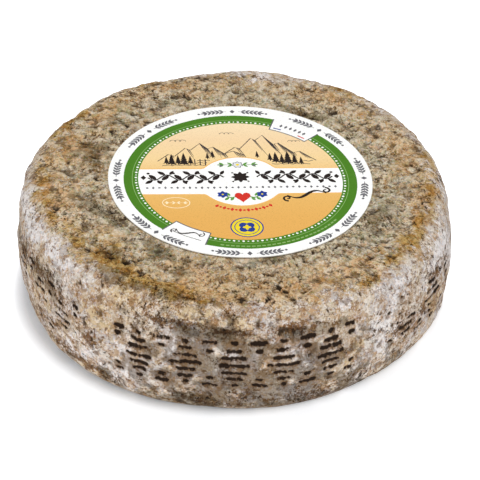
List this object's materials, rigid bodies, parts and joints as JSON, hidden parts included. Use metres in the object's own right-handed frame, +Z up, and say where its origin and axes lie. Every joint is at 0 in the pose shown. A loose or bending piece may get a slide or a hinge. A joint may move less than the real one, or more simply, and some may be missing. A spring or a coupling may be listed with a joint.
{
  "type": "tomme cheese wheel",
  "caption": "Whole low round wheel of semi-hard mountain cheese with a crumbly grey-brown natural rind and a round paper label glued on its top.",
  "frame": {"origin": "under the middle of the wheel, on the flat bottom that it rests on", "axes": "+Z up through the wheel, -Y towards the front, where a stamped band is centred, +X to the right of it"},
  "size_m": [0.2002, 0.2048, 0.0627],
  "materials": {
    "rind": "dry, crumbly natural rind in grey, tan and ochre with a pale bloom on the side, quite matt",
    "label_paper": "smooth printed paper with a faint sheen"
  },
  "bodies": {
    "root": {"cheese_wheel": "rind", "paper_label": "label_paper"}
  },
  "joints": []
}
